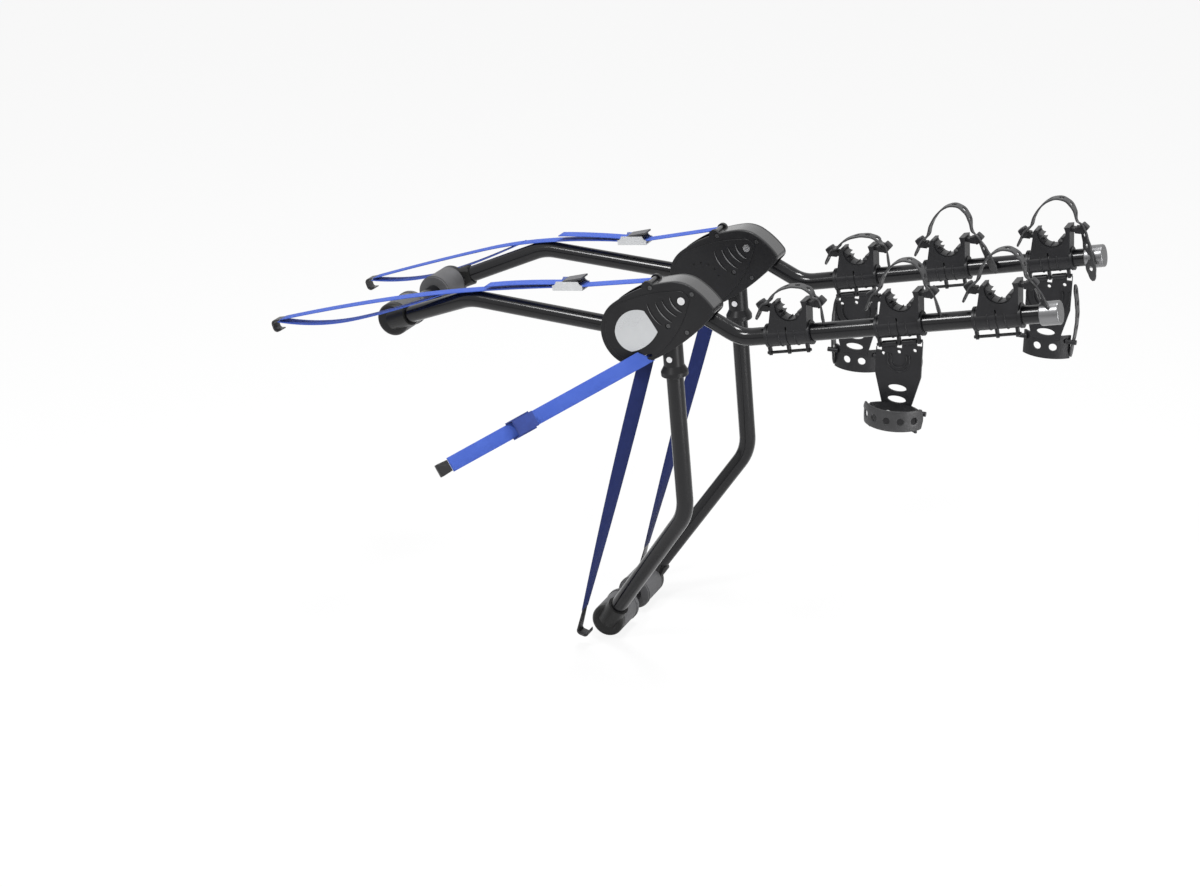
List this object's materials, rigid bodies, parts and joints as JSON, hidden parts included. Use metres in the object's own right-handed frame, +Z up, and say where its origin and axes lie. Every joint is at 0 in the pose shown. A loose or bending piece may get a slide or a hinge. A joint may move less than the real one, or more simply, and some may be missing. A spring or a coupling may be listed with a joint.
{
  "type": "trunk mounted bike rack",
  "caption": "Trunk mounted bicycle rack with fold-down hold arms, sliding cradles, anti-sway cages, rubber-footed frames and blue hook straps.",
  "frame": {"origin": "middle of the common axis of the two bumper rollers", "axes": "+X rearward along the hold arms, away from the car; +Y across the car to the far side; +Z up"},
  "size_m": [1.3779, 0.785, 0.8149],
  "materials": {
    "hub_plastic": "satin",
    "band_lacquer": "gloss",
    "badge_silver": "satin",
    "screw_steel": "satin",
    "tube_lacquer": "gloss",
    "boot_rubber": "matt",
    "roller_rubber": "matt",
    "cap_gray": "satin",
    "cradle_plastic": "matt",
    "strap_rubber": "matt",
    "webbing_blue": "woven",
    "hook_black": "dipped",
    "buckle_silver": "satin",
    "buckle_blue": "satin",
    "lever_dark": "satin"
  },
  "bodies": {
    "rack": {"hub_outer_cover_near": "hub_plastic", "hub_outer_cover_far": "hub_plastic", "hub_inner_cover_near": "hub_plastic", "hub_inner_cover_far": "hub_plastic", "hub_bands": "band_lacquer", "hub_badges": "badge_silver", "hub_screws": "screw_steel", "lower_sockets": "hub_plastic", "pivot_pins": "screw_steel", "strap_anchor_pins": "screw_steel", "socket_bolts": "screw_steel", "lower_frame_tube": "tube_lacquer", "lower_foot_boots": "boot_rubber", "lower_foot_rollers": "roller_rubber", "upper_hooks": "hook_black", "side_hooks": "hook_black", "lower_hooks": "hook_black", "upper_buckles": "buckle_silver", "side_buckles": "buckle_blue", "upper_lead_near": "webbing_blue", "upper_strap_near": "webbing_blue", "upper_loop_near": "webbing_blue", "upper_tail_near": "webbing_blue", "side_strap_near": "webbing_blue", "lower_strap_near": "webbing_blue", "upper_lead_far": "webbing_blue", "upper_strap_far": "webbing_blue", "upper_loop_far": "webbing_blue", "upper_tail_far": "webbing_blue", "side_strap_far": "webbing_blue", "lower_strap_far": "webbing_blue"},
    "upper_frame": {"upper_frame_tube": "tube_lacquer", "upper_foot_boots": "boot_rubber", "upper_foot_rollers": "roller_rubber"},
    "arm_near": {"hold_arm_near": "tube_lacquer", "arm_end_cap_near": "cap_gray"},
    "arm_far": {"hold_arm_far": "tube_lacquer", "arm_end_cap_far": "cap_gray"},
    "cradle_body_inner_near": {"cradle_inner_near": "cradle_plastic", "cradle_strap_inner_near": "strap_rubber"},
    "cradle_body_middle_near": {"cradle_middle_near": "cradle_plastic", "cradle_strap_middle_near": "strap_rubber"},
    "cage_body_middle_near": {"cage_middle_near": "cradle_plastic", "cage_belt_middle_near": "strap_rubber"},
    "cradle_body_outer_near": {"cradle_outer_near": "cradle_plastic", "cradle_strap_outer_near": "strap_rubber"},
    "cradle_body_inner_far": {"cradle_inner_far": "cradle_plastic", "cradle_strap_inner_far": "strap_rubber"},
    "cage_body_inner_far": {"cage_inner_far": "cradle_plastic", "cage_belt_inner_far": "strap_rubber"},
    "cradle_body_middle_far": {"cradle_middle_far": "cradle_plastic", "cradle_strap_middle_far": "strap_rubber"},
    "cradle_body_outer_far": {"cradle_outer_far": "cradle_plastic", "cradle_strap_outer_far": "strap_rubber"},
    "cage_body_outer_far": {"cage_outer_far": "cradle_plastic", "cage_belt_outer_far": "strap_rubber"},
    "upper_lever_near": {"upper_buckle_lever_near": "lever_dark"},
    "side_lever_near": {"side_buckle_lever_near": "buckle_blue"},
    "upper_lever_far": {"upper_buckle_lever_far": "lever_dark"},
    "side_lever_far": {"side_buckle_lever_far": "buckle_blue"}
  },
  "joints": [
    {"name": "arm_fold_near", "type": "hinge", "parent": "rack", "child": "arm_near", "pos_m": [0.1614, -0.15, 0.6376], "axis": [0, 1, 0], "range_deg": [0, 45]},
    {"name": "arm_fold_far", "type": "hinge", "parent": "rack", "child": "arm_far", "pos_m": [0.1614, 0.15, 0.6376], "axis": [0, 1, 0], "range_deg": [0, 28]},
    {"name": "upper_frame_fold", "type": "hinge", "parent": "rack", "child": "upper_frame", "pos_m": [0.08239, 0, 0.56861], "axis": [0, 1, 0], "range_deg": [-60, 0]},
    {"name": "cradle_slide_inner_near", "type": "slide", "parent": "arm_near", "child": "cradle_body_inner_near", "axis": [0.9756, 0, 0.2197], "range_m": [-0.015, 0.015]},
    {"name": "cradle_slide_middle_near", "type": "slide", "parent": "arm_near", "child": "cradle_body_middle_near", "axis": [0.9756, 0, 0.2197], "range_m": [-0.015, 0.015]},
    {"name": "cage_swing_middle_near", "type": "hinge", "parent": "cradle_body_middle_near", "child": "cage_body_middle_near", "pos_m": [0.5164, -0.15, 0.61072], "axis": [0.9756, 0, 0.2197], "range_deg": [-75, 75]},
    {"name": "cradle_slide_outer_near", "type": "slide", "parent": "arm_near", "child": "cradle_body_outer_near", "axis": [0.9756, 0, 0.2197], "range_m": [-0.015, 0]},
    {"name": "cradle_slide_inner_far", "type": "slide", "parent": "arm_far", "child": "cradle_body_inner_far", "axis": [0.9756, 0, 0.2197], "range_m": [-0.015, 0.015]},
    {"name": "cage_swing_inner_far", "type": "hinge", "parent": "cradle_body_inner_far", "child": "cage_body_inner_far", "pos_m": [0.3524, 0.15, 0.57378], "axis": [0.9756, 0, 0.2197], "range_deg": [-75, 66]},
    {"name": "cradle_slide_middle_far", "type": "slide", "parent": "arm_far", "child": "cradle_body_middle_far", "axis": [0.9756, 0, 0.2197], "range_m": [-0.015, 0.015]},
    {"name": "cradle_slide_outer_far", "type": "slide", "parent": "arm_far", "child": "cradle_body_outer_far", "axis": [0.9756, 0, 0.2197], "range_m": [-0.015, 0]},
    {"name": "cage_swing_outer_far", "type": "hinge", "parent": "cradle_body_outer_far", "child": "cage_body_outer_far", "pos_m": [0.6774, 0.15, 0.64698], "axis": [0.9756, 0, 0.2197], "range_deg": [-75, 75]},
    {"name": "upper_lever_press_near", "type": "hinge", "parent": "rack", "child": "upper_lever_near", "pos_m": [-0.04916, -0.15, 0.63457], "axis": [0, -1, 0], "range_deg": [0, 60], "stiffness_Nm_per_rad": 0.05},
    {"name": "side_lever_press_near", "type": "hinge", "parent": "rack", "child": "side_lever_near", "pos_m": [-0.06299, -0.31507, 0.43603], "axis": [0.5695, -0.0954, -0.8164], "range_deg": [0, 60], "stiffness_Nm_per_rad": 0.05},
    {"name": "upper_lever_press_far", "type": "hinge", "parent": "rack", "child": "upper_lever_far", "pos_m": [-0.06136, 0.15, 0.62307], "axis": [0, -1, 0], "range_deg": [0, 60], "stiffness_Nm_per_rad": 0.05},
    {"name": "side_lever_press_far", "type": "hinge", "parent": "rack", "child": "side_lever_far", "pos_m": [-0.06299, 0.31507, 0.43603], "axis": [-0.5695, -0.0954, 0.8164], "range_deg": [0, 60], "stiffness_Nm_per_rad": 0.05}
  ]
}
